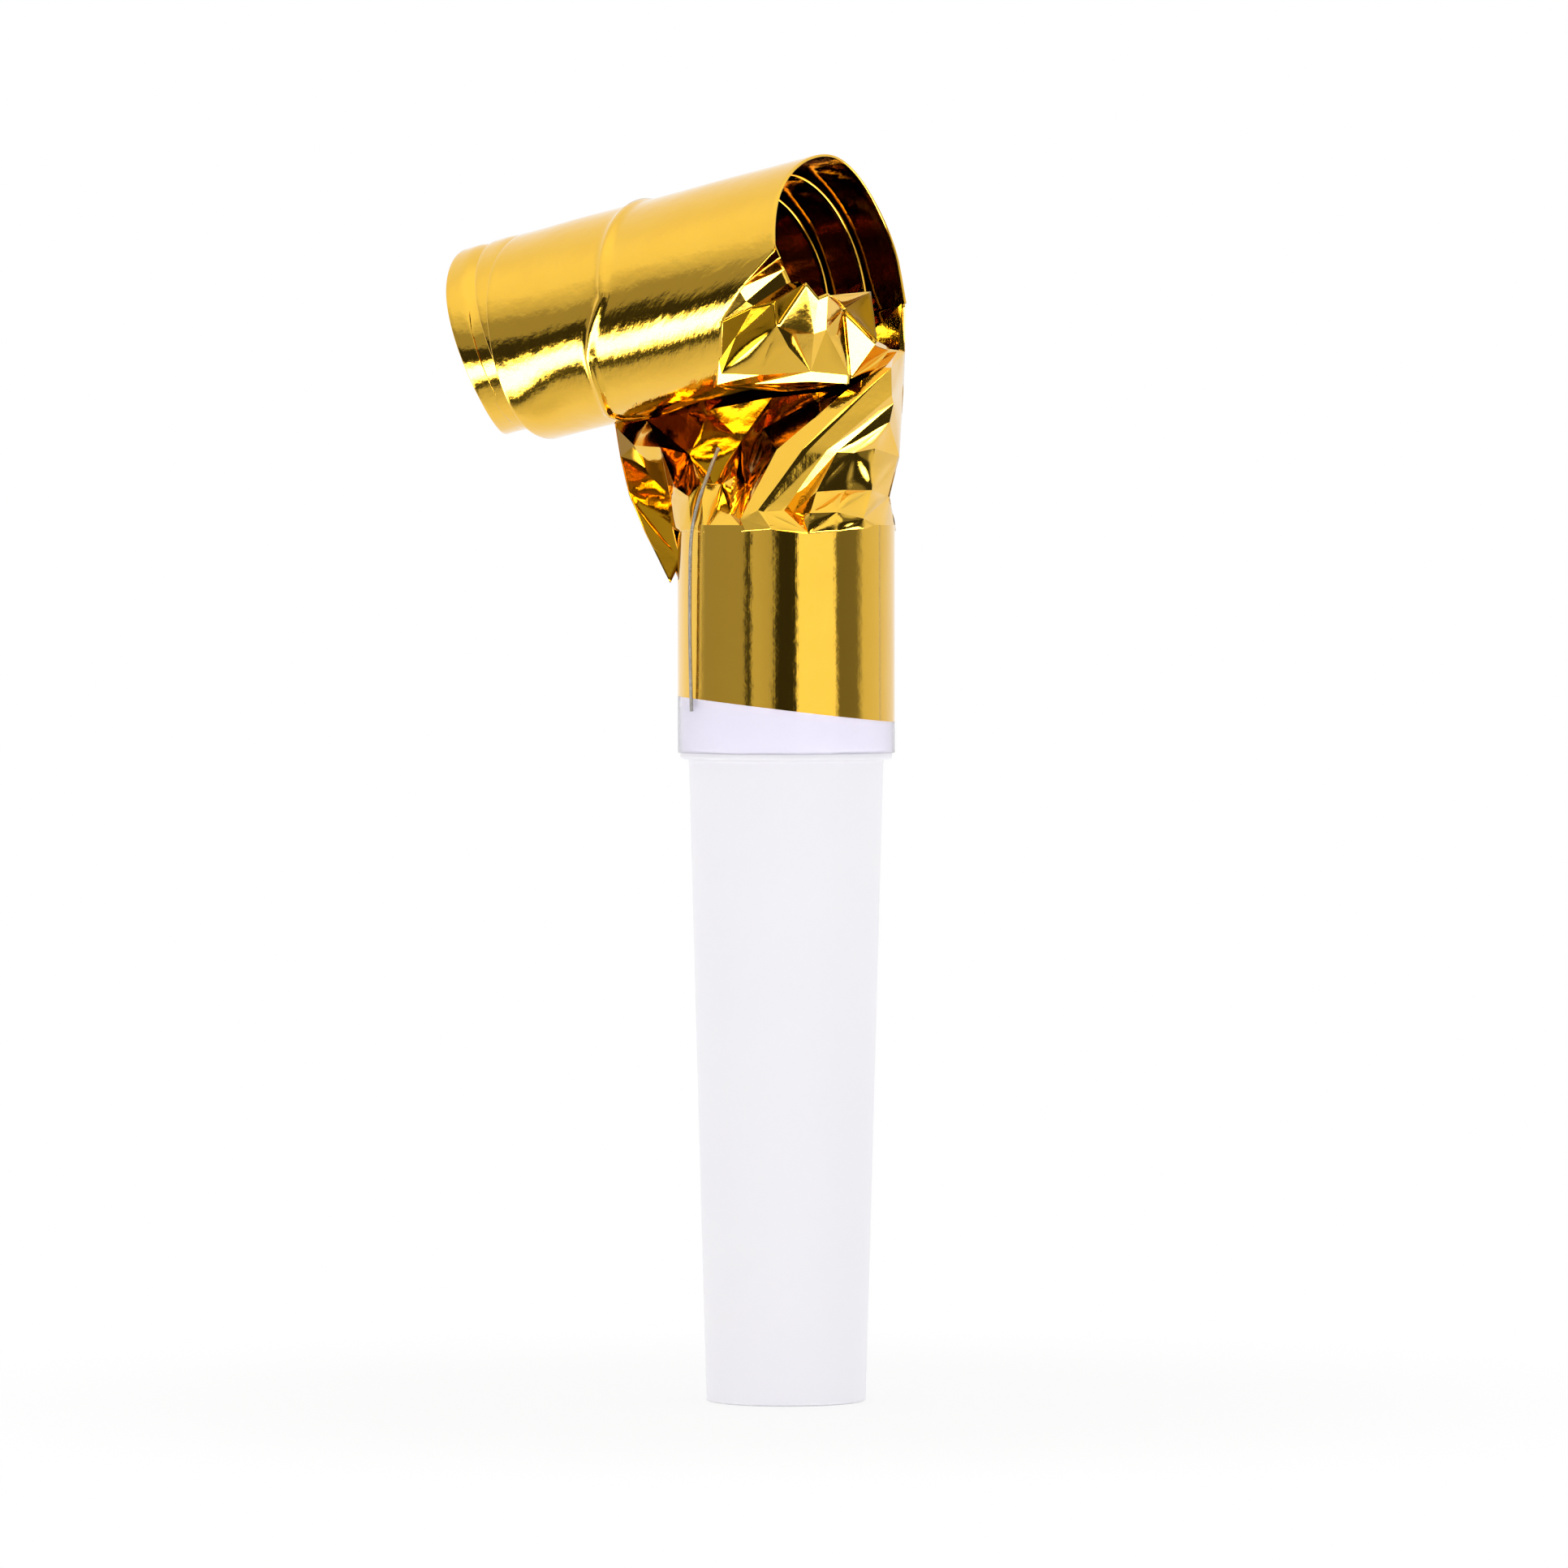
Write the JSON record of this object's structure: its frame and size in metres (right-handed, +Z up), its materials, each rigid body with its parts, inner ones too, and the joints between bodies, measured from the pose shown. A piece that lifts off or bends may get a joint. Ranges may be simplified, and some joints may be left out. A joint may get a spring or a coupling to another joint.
{
  "type": "party horn blower",
  "caption": "Party horn blower: a gold foil tube, curled into a roll by a wire, on a milky plastic mouthpiece with a reed inside; blowing unrolls it.",
  "frame": {"origin": "centre of the mouth rim, on which the blower stands", "axes": "+Z up the mouthpiece; -Y the side the foil rolls to; +X along the roll, towards its raised open end"},
  "size_m": [0.0398, 0.0264, 0.1137],
  "materials": {
    "milky_plastic": "moulded, translucent white",
    "reed_plastic": "moulded white",
    "reed_film": "cut film",
    "gold_film": "metallised film, mirror gloss",
    "clear_film": "clear film",
    "spring_wire": "drawn steel",
    "dried_glue": "clear set glue"
  },
  "bodies": {
    "mouthpiece": {"mouthpiece": "milky_plastic", "reed_holder": "reed_plastic", "reed_wedge": "reed_plastic", "clip_ring": "reed_plastic", "glue_band": "dried_glue", "film_margin": "clear_film", "foil_cuff": "gold_film", "foil_neck": "gold_film", "wire_lead": "spring_wire"},
    "reed": {"reed_tongue": "reed_film"},
    "link_01": {"foil_link_01": "gold_film", "wire_link_01": "spring_wire"},
    "link_02": {"foil_link_02": "gold_film", "wire_link_02": "spring_wire"},
    "link_03": {"foil_link_03": "gold_film", "wire_link_03": "spring_wire"},
    "link_04": {"foil_link_04": "gold_film", "wire_link_04": "spring_wire"},
    "link_05": {"foil_link_05": "gold_film", "wire_link_05": "spring_wire"},
    "link_06": {"foil_link_06": "gold_film", "wire_link_06": "spring_wire"},
    "link_07": {"foil_link_07": "gold_film", "wire_link_07": "spring_wire"},
    "link_08": {"foil_link_08": "gold_film", "wire_link_08": "spring_wire"},
    "link_09": {"foil_link_09": "gold_film", "wire_link_09": "spring_wire"},
    "link_10": {"foil_link_10": "gold_film", "wire_link_10": "spring_wire"},
    "link_11": {"foil_link_11": "gold_film", "wire_link_11": "spring_wire"},
    "link_12": {"foil_link_12": "gold_film", "wire_link_12": "spring_wire"},
    "link_13": {"foil_link_13": "gold_film", "wire_link_13": "spring_wire"},
    "link_14": {"foil_link_14": "gold_film", "wire_link_14": "spring_wire"},
    "link_15": {"foil_link_15": "gold_film", "wire_link_15": "spring_wire"},
    "link_16": {"foil_link_16": "gold_film", "wire_link_16": "spring_wire"},
    "link_17": {"foil_link_17": "gold_film", "wire_link_17": "spring_wire"},
    "link_18": {"foil_link_18": "gold_film", "wire_link_18": "spring_wire"},
    "link_19": {"foil_link_19": "gold_film", "wire_link_19": "spring_wire"},
    "link_20": {"foil_link_20": "gold_film", "wire_link_20": "spring_wire"},
    "tail": {"foil_tail": "gold_film", "wire_tail": "spring_wire", "end_fold": "gold_film"}
  },
  "joints": [
    {"name": "reed_flex", "type": "hinge", "parent": "mouthpiece", "child": "reed", "pos_m": [0, -0.00205, 0.051], "axis": [1, 0, 0], "range_deg": [-2, 3.4], "stiffness_Nm_per_rad": 0.0002},
    {"name": "curl_01", "type": "hinge", "parent": "mouthpiece", "child": "link_01", "pos_m": [-0.00495, 0.003, 0.1009], "axis": [-0.9781, 0, -0.2079], "range_deg": [0, 45], "stiffness_Nm_per_rad": 0.0002, "springref_deg": -68.75},
    {"name": "curl_02", "type": "hinge", "parent": "link_01", "child": "link_02", "pos_m": [-0.00641, 0.0001, 0.10775], "axis": [-0.9781, 0, -0.2079], "range_deg": [0, 45], "stiffness_Nm_per_rad": 0.0002, "springref_deg": -68.75},
    {"name": "curl_03", "type": "hinge", "parent": "link_02", "child": "link_03", "pos_m": [-0.007, -0.00683, 0.11056], "axis": [-0.9781, 0, -0.2079], "range_deg": [0, 45], "stiffness_Nm_per_rad": 0.0002, "springref_deg": -68.75},
    {"name": "curl_04", "type": "hinge", "parent": "link_03", "child": "link_04", "pos_m": [-0.00641, -0.0137, 0.10777], "axis": [-0.9781, 0, -0.2079], "range_deg": [0, 45], "stiffness_Nm_per_rad": 0.0002, "springref_deg": -68.75},
    {"name": "curl_05", "type": "hinge", "parent": "link_04", "child": "link_05", "pos_m": [-0.005, -0.01652, 0.10112], "axis": [-0.9781, 0, -0.2079], "range_deg": [0, 45], "stiffness_Nm_per_rad": 0.0002, "springref_deg": -68.75},
    {"name": "curl_06", "type": "hinge", "parent": "link_05", "child": "link_06", "pos_m": [-0.0036, -0.01373, 0.09453], "axis": [-0.9781, 0, -0.2079], "range_deg": [0, 45], "stiffness_Nm_per_rad": 0.0002, "springref_deg": -68.75},
    {"name": "curl_07", "type": "hinge", "parent": "link_06", "child": "link_07", "pos_m": [-0.00302, -0.00706, 0.09183], "axis": [-0.9781, 0, -0.2079], "range_deg": [0, 45], "stiffness_Nm_per_rad": 0.0002, "springref_deg": -68.75},
    {"name": "curl_08", "type": "hinge", "parent": "link_07", "child": "link_08", "pos_m": [-0.00359, -0.00046, 0.09451], "axis": [-0.9781, 0, -0.2079], "range_deg": [0, 45], "stiffness_Nm_per_rad": 0.0002, "springref_deg": -68.75},
    {"name": "curl_09", "type": "hinge", "parent": "link_08", "child": "link_09", "pos_m": [-0.00495, 0.00225, 0.1009], "axis": [-0.9781, 0, -0.2079], "range_deg": [0, 45], "stiffness_Nm_per_rad": 0.0002, "springref_deg": -68.75},
    {"name": "curl_10", "type": "hinge", "parent": "link_09", "child": "link_10", "pos_m": [-0.0063, -0.00043, 0.10723], "axis": [-0.9781, 0, -0.2079], "range_deg": [0, 45], "stiffness_Nm_per_rad": 0.0002, "springref_deg": -68.75},
    {"name": "curl_11", "type": "hinge", "parent": "link_10", "child": "link_11", "pos_m": [-0.00685, -0.00683, 0.10982], "axis": [-0.9781, 0, -0.2079], "range_deg": [0, 45], "stiffness_Nm_per_rad": 0.0002, "springref_deg": -68.75},
    {"name": "curl_12", "type": "hinge", "parent": "link_11", "child": "link_12", "pos_m": [-0.0063, -0.01317, 0.10726], "axis": [-0.9781, 0, -0.2079], "range_deg": [0, 45], "stiffness_Nm_per_rad": 0.0002, "springref_deg": -68.75},
    {"name": "curl_13", "type": "hinge", "parent": "link_12", "child": "link_13", "pos_m": [-0.005, -0.01577, 0.10112], "axis": [-0.9781, 0, -0.2079], "range_deg": [0, 45], "stiffness_Nm_per_rad": 0.0002, "springref_deg": -68.75},
    {"name": "curl_14", "type": "hinge", "parent": "link_13", "child": "link_14", "pos_m": [-0.00371, -0.0132, 0.09505], "axis": [-0.9781, 0, -0.2079], "range_deg": [0, 45], "stiffness_Nm_per_rad": 0.0002, "springref_deg": -68.75},
    {"name": "curl_15", "type": "hinge", "parent": "link_14", "child": "link_15", "pos_m": [-0.00318, -0.00706, 0.09256], "axis": [-0.9781, 0, -0.2079], "range_deg": [0, 45], "stiffness_Nm_per_rad": 0.0002, "springref_deg": -68.75},
    {"name": "curl_16", "type": "hinge", "parent": "link_15", "child": "link_16", "pos_m": [-0.0037, -0.00099, 0.09503], "axis": [-0.9781, 0, -0.2079], "range_deg": [0, 45], "stiffness_Nm_per_rad": 0.0002, "springref_deg": -68.75},
    {"name": "curl_17", "type": "hinge", "parent": "link_16", "child": "link_17", "pos_m": [-0.00495, 0.0015, 0.1009], "axis": [-0.9781, 0, -0.2079], "range_deg": [0, 45], "stiffness_Nm_per_rad": 0.0002, "springref_deg": -68.75},
    {"name": "curl_18", "type": "hinge", "parent": "link_17", "child": "link_18", "pos_m": [-0.00618, -0.00096, 0.10671], "axis": [-0.9781, 0, -0.2079], "range_deg": [0, 45], "stiffness_Nm_per_rad": 0.0002, "springref_deg": -68.75},
    {"name": "curl_19", "type": "hinge", "parent": "link_18", "child": "link_19", "pos_m": [-0.00669, -0.00683, 0.10909], "axis": [-0.9781, 0, -0.2079], "range_deg": [0, 45], "stiffness_Nm_per_rad": 0.0002, "springref_deg": -68.75},
    {"name": "curl_20", "type": "hinge", "parent": "link_19", "child": "link_20", "pos_m": [-0.00619, -0.01264, 0.10674], "axis": [-0.9781, 0, -0.2079], "range_deg": [0, 45], "stiffness_Nm_per_rad": 0.0002, "springref_deg": -68.75},
    {"name": "unroll", "type": "hinge", "parent": "link_20", "child": "tail", "pos_m": [-0.005, -0.01502, 0.10112], "axis": [-0.9781, 0, -0.2079], "range_deg": [0, 45], "stiffness_Nm_per_rad": 0.0002, "springref_deg": -68.75}
  ],
  "couplings": [
    {"joint": "curl_01", "follows": "unroll", "ratio": 1},
    {"joint": "curl_02", "follows": "unroll", "ratio": 1},
    {"joint": "curl_03", "follows": "unroll", "ratio": 1},
    {"joint": "curl_04", "follows": "unroll", "ratio": 1},
    {"joint": "curl_05", "follows": "unroll", "ratio": 1},
    {"joint": "curl_06", "follows": "unroll", "ratio": 1},
    {"joint": "curl_07", "follows": "unroll", "ratio": 1},
    {"joint": "curl_08", "follows": "unroll", "ratio": 1},
    {"joint": "curl_09", "follows": "unroll", "ratio": 1},
    {"joint": "curl_10", "follows": "unroll", "ratio": 1},
    {"joint": "curl_11", "follows": "unroll", "ratio": 1},
    {"joint": "curl_12", "follows": "unroll", "ratio": 1},
    {"joint": "curl_13", "follows": "unroll", "ratio": 1},
    {"joint": "curl_14", "follows": "unroll", "ratio": 1},
    {"joint": "curl_15", "follows": "unroll", "ratio": 1},
    {"joint": "curl_16", "follows": "unroll", "ratio": 1},
    {"joint": "curl_17", "follows": "unroll", "ratio": 1},
    {"joint": "curl_18", "follows": "unroll", "ratio": 1},
    {"joint": "curl_19", "follows": "unroll", "ratio": 1},
    {"joint": "curl_20", "follows": "unroll", "ratio": 1}
  ]
}
